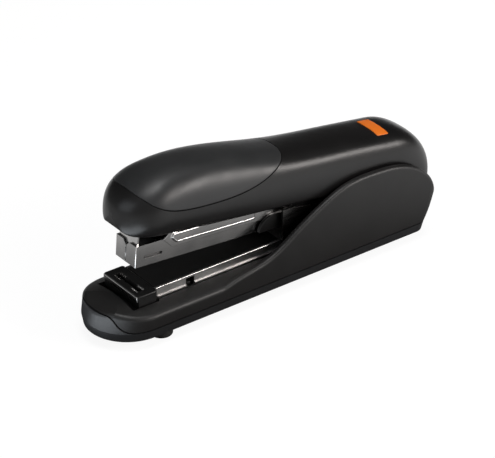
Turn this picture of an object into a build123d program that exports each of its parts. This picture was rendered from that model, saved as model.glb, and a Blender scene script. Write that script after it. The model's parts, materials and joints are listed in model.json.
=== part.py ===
"""Flat-clinch desk stapler: a padded handle over a staple magazine, both hinged at the back of a
winged base, with a clinching table that sinks onto a fixed clincher.

Sizes are in millimetres. +X runs from the nose to the back, +Z is up, and the origin lies on the
desk under the middle of the stapler. The magazine and the handle are drawn shut, level with the
base, and are then swung up about the hinge to where they rest.
"""

import os
from math import asin, cos, degrees, pi, radians, sin

from build123d import *

# Ways to draw a rectangle from the middle of one of its sides
upward = (Align.CENTER, Align.MIN)
downward = (Align.CENTER, Align.MAX)
backward = (Align.MIN, Align.CENTER)
forward = (Align.MAX, Align.CENTER)

# Staple
staple_crown = 12.9
staple_leg = 6.0
staple_wire = 0.6
staple_clearance = 0.1

# Plates and walls across the width, from the middle outwards
channel_wall = 0.7
arm_plate = 0.9
saddle_wall = 1.5
frame_plate = 1.0
cheek_plate = 1.2
running_gap = 0.35
pin_head = 0.5
cover_clearance = 0.55
cover_wall = 2.0
handle_gap = 1.6
wing_wall = 2.8

channel_inner = staple_crown / 2 + staple_clearance
channel_half = channel_inner + channel_wall
magazine_half = channel_half + arm_plate
saddle_half = magazine_half + saddle_wall
frame_inner = saddle_half + running_gap
frame_half = frame_inner + frame_plate
cheek_inner = frame_half + running_gap
cheek_half = cheek_inner + cheek_plate
pin_half = cheek_half + pin_head
cover_inner = pin_half + cover_clearance
handle_half = cover_inner + cover_wall
wing_inner = handle_half + handle_gap
base_half = wing_inner + wing_wall

# Heights
foot_height = 4.4
tray_floor = 3.1
tray_height = 4.1
base_rise = 9.9
crown_drop = 4.3
table_rise = 3.4
paper_gap = 0.5
channel_height = 9.9
hinge_rise = 7.2

floor_z = foot_height + tray_floor
seam_z = foot_height + tray_height
crown_z = seam_z + base_rise
table_z = crown_z + table_rise
magazine_z = table_z + paper_gap
handle_z = magazine_z + channel_height
hinge_z = magazine_z + hinge_rise

# Lengths
length = 178.0
rear_radius = 24.8
apron_length = 16.0
table_length = 10.5
clinch_setback = 4.8
handle_overhang = 10.9

nose_x = -length / 2
hinge_x = length / 2 - rear_radius
table_front = nose_x + apron_length
table_back = table_front + table_length
driver_x = table_front + clinch_setback
handle_nose_x = driver_x - handle_overhang

# Strokes at the driver, and the angles that they make at the hinge
jaw_opening = 10.0
driver_stroke = 8.9
jaw_slope = jaw_opening / (hinge_x - driver_x)
stroke_slope = driver_stroke / (hinge_x - driver_x)
magazine_angle = degrees(asin(jaw_slope))
handle_angle = degrees(asin(stroke_slope))
hinge = Axis((hinge_x, 0, hinge_z), (0, 1, 0))

# Base form
base_corner = 6.0
base_wall = 2.2
rim_round = 2.2
nose_drop = 3.6
tray_wall = 2.2
tray_draft = 0.7
wall_draft = 0.3
nose_draft = 5.0
block_levels = 4
back_lean = 7.5
sill_rise = 2.4
seam_gap = 0.5
lip_depth = 2.6
lip_half = 8.0
lip_rise = 7.2
lip_sweep = 9.4
lip_slope = 0.3
wing_start = 109.0
wing_front = ((-89.3, -12.4), (-73.2, -9.0), (-57.0, 0.2), (-43.4, 7.8), (-29.7, 13.1), (-15.7, 13.9))
wing_rear = ((-1.4, 12.5), (6.0, 10.1), (13.5, 5.4), (18.0, 0.4), (20.6, -5.5), (22.3, -13.0))
wing_round = 1.4
wing_tuck = 1.6
wing_creep = 0.08
overcut = 2.0

crown_edge_z = crown_z - crown_drop
base_back_x = length / 2
back_inner_x = base_back_x - back_lean - base_wall
sill_z = seam_z + sill_rise
wing_top_z = hinge_z + max(rise for run, rise in wing_front)

# Handle form
nose_round = 16.5
nose_tip_rise = 4.9
nose_run = 41.0
nose_square = 2.1
nose_tuck = 5.5
waist_rise = 1.5
side_tuck = 1.0
chin_start = 30.0
chin_run = 50.0
chin_drop = 2.3
chin_tuck = 3.5
grip_flare = 1.6
grip_rise = 26.2
grip_square = 2.5
rear_settle = 20.0
waist_dip = 1.4
rear_square = 3.2
handle_stations = 16
first_station = 0.25
pad_thickness = 1.0
pad_gap = 0.2
pad_curve = ((4.3, 17.4), (15.3, 11.1), (36.3, 9.4), (63.0, 13.3), (82.2, 23.2))
rib_thickness = 1.6
rib_runs = (34.0, 94.0)

# Feet and screws
foot_radius = 5.0
foot_round = 0.8
front_foot = 28.0
front_foot_y = 12.5
rear_foot = 24.0
rear_foot_y = 6.5
boss_radius = 1.9
screw_radius = 1.1
screw_clearance = 0.05
screw_head = 1.2
screw_head_radius = 2.3
screw_grip = 6.0
front_screw = 50.0
rear_screw = 55.0

# Steelwork
pin_radius = 2.0
pin_clearance = 0.05
pin_head_radius = 3.2
ear_radius = 5.5
cheek_reach = 60.5
cheek_rise = 7.4
cheek_crest = 4.0
cheek_dip = 2.0
arm_wall = 1.0
arm_depth = 6.9
arm_reach = 26.0
arm_slot_gap = 1.2
arm_flange = 0.7
liner = 0.4
liner_border = 1.2
liner_gap = 0.3
flange_drop = 0.9
flange_gap = 1.0
table_pin_radius = 1.5
table_pin_back = 30.0
table_pin_drop = 4.4
bridge_back = 22.0
bridge_length = 10.0
bridge_drop = 0.2
table_drop = 2.0
table_overhang = 1.8
table_skin = 2.4
table_gap = 0.6
table_recess = 2.4
table_depth = 6.4
table_round = 0.4
table_corner = 1.2
edge_plate = 0.8
edge_height = 2.6
slot_half = 8.7
slot_gap = 0.4
pocket_side = 4.6
pocket_length = 4.2
pocket_depth = 0.8
clincher_plate = 1.6
clincher_half = 8.3
clincher_foot = 8.0
groove_radius = 3.0
groove_depth = 0.4
slide_back = 17.1
slide_travel = 1.6
slide_gap = 0.4
slide_bar = 2.0
slide_half = 8.0
slide_length = 18.0
slide_lift = 0.1
slide_pad = 3.0
slide_drop = 3.0
slide_bar_height = 1.5
slide_window = 4.5
leaf = 0.5
leaf_half = 4.0
leaf_bend = 3.0
leaf_droop = 1.0
leaf_foot = 14.0
leaf_climb = 12.0
leaf_tip = 7.0
leaf_clearance = 4.8
magazine_leaf = (13.0, 20.0, 52.0, 58.0)
handle_leaf = (26.0, 36.0, 64.0, 70.0)
driver_plate = 0.7
driver_gap = 0.45
channel_back_gap = 28.0
nose_seam = 0.6
nose_notch = 2.2
window_run = 8.9
window_rise = 4.1
window_length = 9.4
window_height = 1.4
rail_wall = 0.6
rail_back_gap = 34.0
rail_gap = 0.15
rod_radius = 1.1
rod_rise = 3.0
rod_head = 0.6
rod_head_radius = 1.7
pusher_length = 11.0
pusher_plate = 1.0
pusher_gap = 0.2
spring_radius = 2.2
spring_wall = 0.7
plate_low = 5.7
plate_top = 14.1
plate_setback = 17.9
plate_slant = 4.6
panel_rise = 0.6
panel_border = 1.8
panel_length = 43.1
panel_taper = 30.0
saddle_low = 0.4
saddle_reach = 71.0
saddle_back = 19.0
saddle_top = 15.6
saddle_brow = 0.8
saddle_bridge = 17.0
saddle_bridge_length = 28.0
saddle_rise_run = 4.7
saddle_dip = 0.2
saddle_chamfer = 4.0
frame_rise = 12.9
tab_half = 8.0
rivet_radius = 1.0
rivet_head = 0.5
rivet_head_radius = 1.7
rivet_spread = 3.5
rivet_drop = 5.2
rail_setback = 1.0
pusher_lead = 0.4
tongue_half = 2.5
tongue_drop = 1.9
frame_tail = 14.0
frame_belly = 25.0
frame_low = 6.5
frame_low_back = 3.0
tab_low = 2.5

cheek_gap = 0.9
shroud_clearance = 3.2
shroud_radius = rear_radius - cover_wall - shroud_clearance
shroud_wall = 1.8
shroud_top = 1.0
shroud_foot = 12.0

arm_half = cheek_inner - running_gap
cheek_front = hinge_x - cheek_reach
boss_y = (cheek_half + cheek_gap + base_half - tray_wall) / 2
screw_spots = [(nose_x + front_screw, side * boss_y) for side in (-1, 1)]
screw_spots += [(base_back_x - rear_screw, side * boss_y) for side in (-1, 1)]
front_feet = [(nose_x + front_foot, side * front_foot_y) for side in (-1, 1)]
rear_feet = [(base_back_x - rear_foot, side * rear_foot_y) for side in (-1, 1)]
table_half = arm_half + table_overhang
clincher_z = table_z - table_drop
table_pin_x = hinge_x - table_pin_back
table_pin_z = table_z - table_pin_drop
arm_back = hinge_x - arm_reach
liner_length = cheek_front - table_back - 2 * liner_gap
bridge_z = table_z - bridge_drop
slide_x = table_back + slide_back
channel_front = driver_x - driver_plate / 2 - driver_gap - channel_wall
channel_floor = magazine_z + channel_wall
rail_front = driver_x + driver_plate / 2 + rail_setback
channel_back = hinge_x - channel_back_gap
driver_half = staple_crown / 2 - pin_clearance
rail_half = staple_crown / 2 - staple_wire - rail_gap
rail_rise = staple_leg - staple_wire
rail_top = channel_floor + rail_rise
rail_back = hinge_x - rail_back_gap
rod_z = channel_floor + rod_rise
pusher_front = rail_front - pusher_lead
tongue_front = rail_front + rail_wall + pusher_gap
pusher_back = pusher_front + pusher_length
pusher_top = rail_top + pusher_gap + pusher_plate
plate_x = channel_front + plate_setback
panel_x = plate_x + panel_length
plate_low_z = magazine_z + plate_low
plate_top_z = magazine_z + plate_top
saddle_front_x = hinge_x - saddle_reach
saddle_back_x = hinge_x - saddle_back
saddle_top_z = magazine_z + saddle_top
frame_top = handle_z + frame_rise
frame_front = driver_x + driver_plate / 2
rivet_z = frame_top - rivet_drop


def finish(builder, name, angle=0.0):
    """Swing a piece nose up about the hinge to where it rests, name it and write it."""
    piece = builder.part.rotate(hinge, angle) if angle else builder.part
    piece.label = name
    export_step(piece, f"parts/{name}.step")


def ease(share):
    """Rise smoothly from 0 to 1 over a share of 0 to 1."""
    share = min(max(share, 0.0), 1.0)
    return (1 - cos(pi * share)) / 2


def quarter(share, power):
    """Height of a rounded quarter outline at a share of its run."""
    share = min(max(share, 0.0), 1.0)
    return (1 - (1 - share) ** power) ** (1 / power)


def corner_curve(flat_end, steep_end, square):
    """Control points of a quarter outline that is squarer for a higher power."""
    hold = (8 * 0.5 ** (1 / square) - 4) / 3
    (y, z), (end_y, end_z) = flat_end, steep_end
    return [flat_end, (y + (end_y - y) * hold, z), (end_y, end_z + (z - end_z) * hold), steep_end]


def handle_section(x, inset):
    """Cross-section of the handle at x, inside the outer skin by the inset."""
    run = x - handle_nose_x
    settle = 1 - ease((run - nose_run) / (hinge_x - rear_settle - handle_nose_x - nose_run))
    chin = 1 - ease((run - chin_start) / chin_run)
    rear_top = hinge_z + rear_radius
    dip = waist_dip * 4 * settle * (1 - settle)
    crest = rear_top + (handle_z + grip_rise - rear_top) * settle - dip - inset
    tip_z = handle_z + nose_tip_rise
    waist_z = tip_z + waist_rise
    half = (handle_half + grip_flare * settle - inset) * quarter((run - inset) / nose_round, 2)
    top = tip_z + (crest - tip_z) * quarter((run - inset) / nose_run, nose_square)
    low = tip_z - (nose_tip_rise + chin_drop * chin + inset / 4) * quarter((run - inset) / nose_tuck, 2)
    waist = tip_z + (waist_z - tip_z) * quarter((run - inset) / nose_run, 2)
    tuck = (side_tuck + (chin_tuck + inset / 2) * chin) * half / handle_half
    flank = corner_curve((half - tuck, low), (half, waist), 2)
    shoulder = corner_curve((0, top), (half, waist), grip_square * settle + rear_square * (1 - settle))
    with BuildSketch(Plane.YZ.offset(x)) as section:
        with BuildLine():
            for curve in (flank, shoulder):
                Bezier(*curve)
                Bezier(*[(-y, z) for y, z in curve])
            Line((half - tuck, low), (tuck - half, low))
        make_face()
    return section.sketch


def handle_body(inset):
    """Solid handle, inside the outer skin by the inset: a lofted grip and a round rear end."""
    start = handle_nose_x + inset
    last = handle_stations + first_station
    steps = [(step + first_station) / last for step in range(handle_stations + 1)]
    with BuildPart() as body:
        loft([handle_section(start + (hinge_x - start) * step**2, inset) for step in steps])
        revolve(handle_section(hinge_x, inset), Axis((hinge_x, 0, hinge_z), (0, 1, 0)), 90)
    return body.part


def base_outline(z, side, nose, back):
    """Plan outline of the base at a height, drawn in at its sides, nose and back."""
    half = base_half - side
    front = nose_x + nose
    rear = base_back_x - back
    lean = half * sin(pi / 4)
    bend = base_corner * (1 - sin(pi / 4))
    with BuildSketch(Plane.XY.offset(z)) as outline:
        with BuildLine():
            ThreePointArc((front + half, half), (front + half - lean, lean), (front, 0))
            ThreePointArc((front, 0), (front + half - lean, -lean), (front + half, -half))
            Line((front + half, -half), (rear - base_corner, -half))
            near_corner = [(rear - base_corner, -half), (rear - bend, bend - half)]
            near_corner.append((rear, base_corner - half))
            far_corner = [(x, -y) for x, y in reversed(near_corner)]
            ThreePointArc(*near_corner)
            Line(near_corner[-1], far_corner[0])
            ThreePointArc(*far_corner)
            Line((rear - base_corner, half), (front + half, half))
        make_face()
    return outline.sketch


def base_block(inset):
    """Full-height block inside the base's side walls, inside the outer skin by the inset."""
    draft = tray_draft + inset
    foot = base_outline(foot_height, draft, draft, back_lean + draft)
    outlines = []
    for level in range(block_levels + 1):
        share = level / block_levels
        z = seam_z + (wing_top_z + overcut - seam_z) * share
        back = back_lean * (1 - share) ** 3
        side, nose = wall_draft * share, nose_draft * share
        outlines.append(base_outline(z, side + inset, nose + inset, back + inset))
    with BuildPart() as block:
        loft([foot, outlines[0]], ruled=True)
        loft(outlines)
    return block.part


def crowned_base(inset):
    """Base below its crowned top, which also falls away towards the nose."""
    with BuildPart() as base:
        add(base_block(inset))
        with BuildSketch(Plane.YZ.offset(nose_x - overcut)):
            with BuildLine():
                side, high = base_half + overcut, wing_top_z + 2 * overcut
                low = crown_edge_z - inset
                ThreePointArc((-side, low), (0, crown_z - inset), (side, low))
                Polyline((side, low), (side, high), (-side, high), (-side, low))
            make_face()
        extrude(amount=2 * length, mode=Mode.SUBTRACT)
        with BuildSketch(Plane.XZ):
            with BuildLine():
                start = (table_front, crown_z - inset)
                end = (nose_x - overcut, crown_z - nose_drop - inset)
                TangentArc(start, end, tangent=(-1, 0))
                Polyline(end, (end[0], crown_z + overcut), (table_front, crown_z + overcut), start)
            make_face()
        extrude(amount=base_half + overcut, both=True, mode=Mode.SUBTRACT)
    return base.part


def lip_zone(gap):
    """Space of the tray's nose lip: a skin round the nose that sweeps down to the seam at its ends."""
    low, seam = seam_z - tray_height / 2, seam_z + gap
    half, end = lip_half + gap, lip_half + lip_sweep + gap
    sweep = [(end, seam), ((half + end) / 2, seam + lip_rise / 2), (half, seam + lip_rise)]
    with BuildPart() as zone:
        with BuildSketch(Plane.YZ.offset(nose_x - overcut)):
            with BuildLine():
                right = Spline(*sweep, tangents=((-1, lip_slope), (-1, 0)))
                left = mirror(right, about=Plane.YZ)
                Line(right @ 1, left @ 1)
                Polyline(right @ 0, (end, low), (-end, low), left @ 0)
            make_face()
        extrude(amount=base_half + overcut)
        add(base_block(lip_depth + gap), mode=Mode.SUBTRACT)
    return zone.part


def pad_zone(gap):
    """Space of the grip's inlay: a skin above a curve that dips along both flanks."""
    high = handle_z + 2 * grip_rise
    points = [(handle_nose_x + run, handle_z + rise - gap) for run, rise in pad_curve]
    with BuildPart() as zone:
        with BuildSketch(Plane.XZ):
            with BuildLine():
                edge = Spline(*points)
                front, back = (edge @ 0).X - gap, (edge @ 1).X + gap
                Polyline(edge @ 0, (front, high), (back, high), edge @ 1)
            make_face()
        extrude(amount=base_half, both=True)
        add(handle_body(pad_thickness + gap), mode=Mode.SUBTRACT)
    return zone.part


os.makedirs("parts", exist_ok=True)

# Base: common outside of the shell and the tray, and the two wings
with BuildPart() as base_form:
    add(crowned_base(0))
    round_faces = base_form.faces().filter_by(GeomType.CYLINDER)
    crown_faces = round_faces.filter_by(lambda face: face.center().Z > crown_edge_z)
    side_edges = crown_faces.edges().filter_by(lambda edge: abs(edge.center().Y) > base_half / 2)
    nose_edges = crown_faces.edges().filter_by(lambda edge: edge.center().X < nose_x + nose_draft)
    fillet(side_edges + nose_edges, rim_round)

with BuildPart() as wings:
    add(base_block(0))
    with BuildSketch(Plane.XZ):
        with BuildLine():
            start = (hinge_x - wing_start, crown_edge_z - wing_tuck)
            skyline = [start] + [(hinge_x + run, hinge_z + rise) for run, rise in wing_front + wing_rear]
            Spline(*skyline, tangents=((1, wing_creep), (wing_creep, -1)))
            Polyline(skyline[-1], (base_back_x + overcut, seam_z), (start[0], seam_z), start)
        make_face()
    extrude(amount=base_half + overcut, both=True, mode=Mode.INTERSECT)
    with BuildSketch(Plane.XY):
        Rectangle(2 * length, 2 * wing_inner)
    extrude(amount=wing_top_z + overcut, mode=Mode.SUBTRACT)
    top_edges = wings.faces().filter_by(lambda face: face.normal_at().Z > 0.1).edges()
    outer_edges = top_edges.filter_by(lambda edge: abs(edge.center().Y) > wing_inner + wing_wall / 2)
    fillet(outer_edges.filter_by(lambda edge: edge.length > wing_start / 2), wing_round)

with BuildPart() as base_shell:
    add(wings.part)
    add(base_form.part)
    with BuildSketch(Plane.XY):
        Rectangle(2 * length, 4 * base_half)
    extrude(amount=seam_z + seam_gap, mode=Mode.SUBTRACT)
    add(lip_zone(seam_gap), mode=Mode.SUBTRACT)
    add(crowned_base(base_wall), mode=Mode.SUBTRACT)
    with BuildSketch(Plane.XY.offset(seam_z)):
        with Locations(((table_front - table_recess + table_back + table_gap) / 2, 0)):
            Rectangle(table_length + table_recess + table_gap, 2 * (table_half + table_gap))
        with Locations(((table_back + back_inner_x) / 2, 0)):
            Rectangle(back_inner_x - table_back, 2 * (arm_half + arm_slot_gap))
        with Locations(((cheek_front - cheek_gap + back_inner_x) / 2, 0)):
            Rectangle(back_inner_x - cheek_front + cheek_gap, 2 * (cheek_half + cheek_gap))
    extrude(amount=base_rise + overcut, mode=Mode.SUBTRACT)
    with BuildSketch(Plane.XZ):
        with Locations((hinge_x, hinge_z)):
            Circle(rear_radius + handle_gap)
        with Locations((hinge_x, sill_z + length / 2)):
            Rectangle(length, length, mode=Mode.INTERSECT)
    extrude(amount=wing_inner, both=True, mode=Mode.SUBTRACT)
    with BuildSketch(Plane.XY.offset(floor_z)):
        with Locations(*screw_spots):
            Circle(boss_radius)
    extrude(until=Until.NEXT)
    with BuildSketch(Plane.XY.offset(floor_z)):
        with Locations(*screw_spots):
            Circle(screw_radius + screw_clearance)
    extrude(amount=screw_grip, mode=Mode.SUBTRACT)

with BuildPart() as nose_lip:
    add(base_form.part)
    add(lip_zone(0), mode=Mode.INTERSECT)

with BuildPart() as bottom_cover:
    add(base_form.part)
    with BuildSketch(Plane.XY.offset(seam_z)):
        Rectangle(2 * length, 4 * base_half)
    extrude(amount=base_rise + overcut, mode=Mode.SUBTRACT)
    with BuildSketch(Plane.XY.offset(floor_z)):
        add(base_outline(floor_z, tray_wall, tray_wall, back_lean + tray_wall))
    extrude(amount=tray_height, mode=Mode.SUBTRACT)
    add(nose_lip.part)
    with BuildSketch(Plane.XZ):
        with Locations((hinge_x, hinge_z)):
            Circle(shroud_radius)
            Circle(shroud_radius - shroud_wall, mode=Mode.SUBTRACT)
        with Locations((hinge_x + shroud_radius / 2, hinge_z - shroud_top - shroud_radius / 2)):
            Rectangle(shroud_radius, shroud_radius, mode=Mode.INTERSECT)
        with Locations((hinge_x, floor_z - tray_floor / 2)):
            Rectangle(shroud_foot, hinge_z - floor_z - shroud_radius + tray_floor, align=Align.MIN)
        with Locations((hinge_x, hinge_z)):
            Circle(shroud_radius - shroud_wall, mode=Mode.SUBTRACT)
    extrude(amount=cheek_inner - running_gap, both=True)
    with BuildSketch(Plane.XY.offset(foot_height)):
        with Locations(*screw_spots):
            Circle(screw_head_radius + screw_clearance)
    extrude(amount=screw_head + screw_clearance, mode=Mode.SUBTRACT)
    with BuildSketch(Plane.XY.offset(foot_height)):
        with Locations(*screw_spots):
            Circle(screw_radius + screw_clearance)
    extrude(amount=tray_floor, mode=Mode.SUBTRACT)

with BuildPart() as rubber_feet:
    with BuildSketch():
        with Locations(*front_feet, *rear_feet):
            Circle(foot_radius)
    extrude(amount=foot_height)
    fillet(rubber_feet.edges().group_by(Axis.Z)[0], foot_round)

with BuildPart() as base_screws:
    with BuildSketch(Plane.XY.offset(foot_height + screw_clearance)):
        with Locations(*screw_spots):
            Circle(screw_head_radius)
    extrude(amount=screw_head)
    with BuildSketch(Plane.XY.offset(foot_height + screw_clearance + screw_head)):
        with Locations(*screw_spots):
            Circle(screw_radius)
    extrude(amount=screw_grip)

# Steel base frame with its two hinge cheeks, and the axles
with BuildPart() as base_frame:
    with BuildSketch(Plane.XZ.offset(cheek_inner)):
        with BuildLine():
            Polyline((cheek_front, floor_z), (cheek_front, hinge_z + cheek_rise),
                     (cheek_front + cheek_crest, hinge_z + cheek_rise), (table_pin_x, hinge_z + cheek_dip),
                     (hinge_x, hinge_z + ear_radius), (hinge_x + ear_radius, hinge_z),
                     (hinge_x - bridge_length, floor_z), close=True)
        make_face()
        with Locations((hinge_x, hinge_z)):
            Circle(ear_radius)
            Circle(pin_radius + pin_clearance, mode=Mode.SUBTRACT)
        with Locations((table_pin_x, table_pin_z)):
            Circle(table_pin_radius + pin_clearance, mode=Mode.SUBTRACT)
    extrude(amount=cheek_plate)
    mirror(about=Plane.XZ)
    with BuildSketch(Plane.XY.offset(floor_z)):
        with Locations((cheek_front, 0)):
            Rectangle(cheek_reach - bridge_length, 2 * cheek_half, align=backward)
    extrude(amount=cheek_plate)
    with BuildSketch(Plane.XY.offset(bridge_z)):
        with Locations((hinge_x - bridge_back, 0)):
            Rectangle(bridge_length, 2 * cheek_inner, align=backward)
    extrude(amount=-cheek_plate)

with BuildPart() as hinge_pin:
    with BuildSketch(Plane.XZ.offset(-cheek_half)):
        with Locations((hinge_x, hinge_z)):
            Circle(pin_radius)
    extrude(amount=2 * cheek_half)
    with BuildSketch(Plane.XZ.offset(cheek_half)):
        with Locations((hinge_x, hinge_z)):
            Circle(pin_head_radius)
    extrude(amount=pin_head)
    mirror(about=Plane.XZ)

with BuildPart() as table_pin:
    with BuildSketch(Plane.XZ.offset(-cheek_half)):
        with Locations((table_pin_x, table_pin_z)):
            Circle(table_pin_radius)
    extrude(amount=2 * cheek_half)

with BuildPart() as clincher:
    with BuildSketch(Plane.YZ.offset(driver_x - clincher_plate / 2)):
        with Locations((0, floor_z)):
            Rectangle(2 * clincher_half, clincher_z - floor_z, align=upward)
        groove_z = clincher_z + groove_radius - groove_depth
        with Locations((-slot_half / 2, groove_z), (slot_half / 2, groove_z)):
            Circle(groove_radius, mode=Mode.SUBTRACT)
    extrude(amount=clincher_plate)
    with BuildSketch(Plane.XY.offset(floor_z)):
        with Locations((driver_x + clincher_plate / 2, 0)):
            Rectangle(clincher_foot, 2 * clincher_half, align=backward)
    extrude(amount=clincher_plate)

# Clinching table and the arm that carries it
with BuildPart() as table_arm:
    with BuildSketch(Plane.YZ.offset(table_front + 2 * edge_plate)):
        with Locations((0, table_z)):
            Rectangle(2 * arm_half, arm_depth, align=downward)
        with Locations((0, table_z - arm_wall)):
            Rectangle(2 * (arm_half - arm_wall), arm_depth, align=downward, mode=Mode.SUBTRACT)
    extrude(amount=arm_back - table_front - 2 * edge_plate)
    with BuildSketch(Plane.YZ.offset(table_back + flange_gap)):
        with Locations((0, crown_z - flange_drop)):
            Rectangle(2 * (arm_half + arm_flange), arm_flange)
            Rectangle(2 * arm_half - arm_wall, arm_flange, mode=Mode.SUBTRACT)
    extrude(amount=cheek_front - table_back - 3 * flange_gap)
    with BuildSketch(Plane.XY.offset(table_z - table_skin)):
        with Locations((table_back, 0)):
            Rectangle(table_length, 2 * base_half, align=forward)
    extrude(amount=table_skin, mode=Mode.SUBTRACT)
    with BuildSketch(Plane.XY.offset(table_z)):
        with Locations((table_back, 0)):
            Rectangle(liner_length + liner_gap, 2 * (arm_half - liner_border), align=backward)
    extrude(amount=-liner, mode=Mode.SUBTRACT)
    with BuildSketch(Plane.XZ):
        with Locations((slide_x - slide_bar / 2 - slide_gap, table_z - arm_wall)):
            Rectangle(slide_bar + slide_travel + 2 * slide_gap, slide_window, align=(Align.MIN, Align.MAX))
        with Locations((table_pin_x, table_pin_z)):
            Circle(table_pin_radius + pin_clearance)
    extrude(amount=base_half, both=True, mode=Mode.SUBTRACT)

with BuildPart() as arm_liner:
    with BuildSketch(Plane.XY.offset(table_z)):
        with Locations((table_back + liner_gap, 0)):
            Rectangle(liner_length, 2 * (arm_half - liner_border), align=backward)
    extrude(amount=-liner)

with BuildPart() as table_block:
    with BuildSketch(Plane.XY.offset(table_z)):
        with Locations((table_front + edge_plate, 0)):
            Rectangle(table_length - edge_plate, 2 * table_half, align=backward)
    extrude(amount=-table_depth)
    fillet(table_block.edges().filter_by(Axis.Z).sort_by(Axis.X)[2:], table_corner)
    fillet(table_block.faces().sort_by(Axis.Z)[-1].edges(), table_round)
    with BuildSketch(Plane.XY.offset(table_z - table_skin)):
        with Locations((table_front + 2 * edge_plate, 0)):
            Rectangle(table_length, 2 * arm_half, align=backward)
    extrude(amount=-table_depth, mode=Mode.SUBTRACT)
    with BuildSketch(Plane.XY.offset(table_z)):
        with Locations((driver_x, 0)):
            Rectangle(clincher_plate + 2 * slot_gap, 2 * slot_half)
    extrude(amount=-table_skin, mode=Mode.SUBTRACT)
    with BuildSketch(Plane.XY.offset(table_z)):
        with Locations((driver_x, slot_half - pocket_side / 2), (driver_x, pocket_side / 2 - slot_half)):
            Rectangle(pocket_length, pocket_side)
    extrude(amount=-pocket_depth, mode=Mode.SUBTRACT)

with BuildPart() as table_edge:
    with BuildSketch(Plane.XY.offset(table_z)):
        with Locations((table_front, 0)):
            Rectangle(edge_plate, 2 * (table_half - table_round), align=backward)
    extrude(amount=-edge_height)

with BuildPart() as support_slide:
    with BuildSketch(Plane.XZ):
        with Locations((slide_x, floor_z + slide_lift)):
            Rectangle(slide_length, slide_pad, align=upward)
        with Locations((slide_x, table_z - slide_drop)):
            Rectangle(slide_bar, table_z - slide_drop - floor_z - slide_lift, align=downward)
    extrude(amount=slide_half, both=True)
    with BuildSketch(Plane.XZ):
        with Locations((slide_x, table_z - slide_drop)):
            Rectangle(slide_bar, slide_bar_height, align=downward)
    extrude(amount=arm_half - slide_lift, both=True)

# Leaf springs under the table and under the magazine
with BuildPart() as table_spring:
    with BuildSketch(Plane.XZ):
        with BuildLine():
            start = slide_x + slide_length / 2 + slide_travel + leaf_clearance
            low, high = floor_z + leaf / 2, table_z - arm_wall - leaf
            bend, crest = start + leaf_foot, start + leaf_foot + leaf_climb
            path = [(start, low), (bend, low), (crest, high), (crest + leaf_tip, high)]
            FilletPolyline(*path, radius=leaf_bend)
        trace(line_width=leaf)
    extrude(amount=leaf_half, both=True)

with BuildPart() as magazine_spring:
    with BuildSketch(Plane.XZ):
        with BuildLine():
            foot, bend, crest, tip = magazine_leaf
            low, high = bridge_z + leaf / 2, magazine_z - leaf
            path = [(hinge_x - foot, low), (hinge_x - bend, low)]
            path.append((hinge_x - crest, high + crest * jaw_slope))
            path.append((hinge_x - tip, high + (crest - leaf_droop) * jaw_slope))
            FilletPolyline(*path, radius=leaf_bend)
        trace(line_width=leaf)
    extrude(amount=leaf_half, both=True)

# Magazine, drawn shut: the staple channel, the rail and follower in it, and the plates that carry it
with BuildPart() as magazine_channel:
    with BuildSketch(Plane.YZ.offset(channel_front)):
        with Locations((0, magazine_z)):
            Rectangle(2 * channel_half, channel_height, align=upward)
        with Locations((0, channel_floor)):
            Rectangle(2 * channel_inner, channel_height, align=upward, mode=Mode.SUBTRACT)
    extrude(amount=channel_back - channel_front)
    with BuildSketch(Plane.YZ.offset(channel_front)):
        with Locations((0, magazine_z)):
            Rectangle(2 * channel_half, channel_height, align=upward)
            Rectangle(nose_seam, channel_height, align=upward, mode=Mode.SUBTRACT)
        with BuildLine():
            Polyline((-nose_notch, handle_z), (0, handle_z - nose_notch), (nose_notch, handle_z), close=True)
        make_face(mode=Mode.SUBTRACT)
    extrude(amount=channel_wall)
    with BuildSketch(Plane.XY.offset(magazine_z)):
        with Locations((channel_front + channel_wall, 0)):
            drop_length = rail_front - channel_front - channel_wall
            Rectangle(drop_length, 2 * channel_inner, align=backward)
    extrude(amount=channel_wall, mode=Mode.SUBTRACT)
    with BuildSketch(Plane.XZ):
        with Locations((channel_front + window_run, magazine_z + window_rise)):
            SlotOverall(window_length, window_height)
    extrude(amount=base_half, both=True, mode=Mode.SUBTRACT)
    front_edges = magazine_channel.edges().filter_by(Axis.Z).group_by(Axis.X)[0]
    fillet(front_edges.filter_by(lambda edge: abs(edge.center().Y) > channel_inner), channel_wall / 2)

with BuildPart() as core_rail:
    with BuildSketch(Plane.YZ.offset(rail_front)):
        with Locations((0, channel_floor)):
            Rectangle(2 * rail_half, rail_rise, align=upward)
        with Locations((0, channel_floor + rail_wall)):
            hollow_half = rail_half - rail_wall
            Rectangle(2 * hollow_half, rail_rise, align=upward, mode=Mode.SUBTRACT)
    extrude(amount=rail_back - rail_front)
    for end in (rail_front, rail_back - rail_wall):
        with BuildSketch(Plane.YZ.offset(end)):
            with Locations((0, channel_floor)):
                Rectangle(2 * rail_half, rail_rise, align=upward)
            with Locations((0, rod_z)):
                Circle(rod_radius + pin_clearance, mode=Mode.SUBTRACT)
        extrude(amount=rail_wall)

with BuildPart() as pusher_rod:
    with BuildSketch(Plane.YZ.offset(rail_front)):
        with Locations((0, rod_z)):
            Circle(rod_radius)
    extrude(amount=rail_back - rail_front)
    with BuildSketch(Plane.YZ.offset(rail_back)):
        with Locations((0, rod_z)):
            Circle(rod_head_radius)
    extrude(amount=rod_head)

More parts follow.
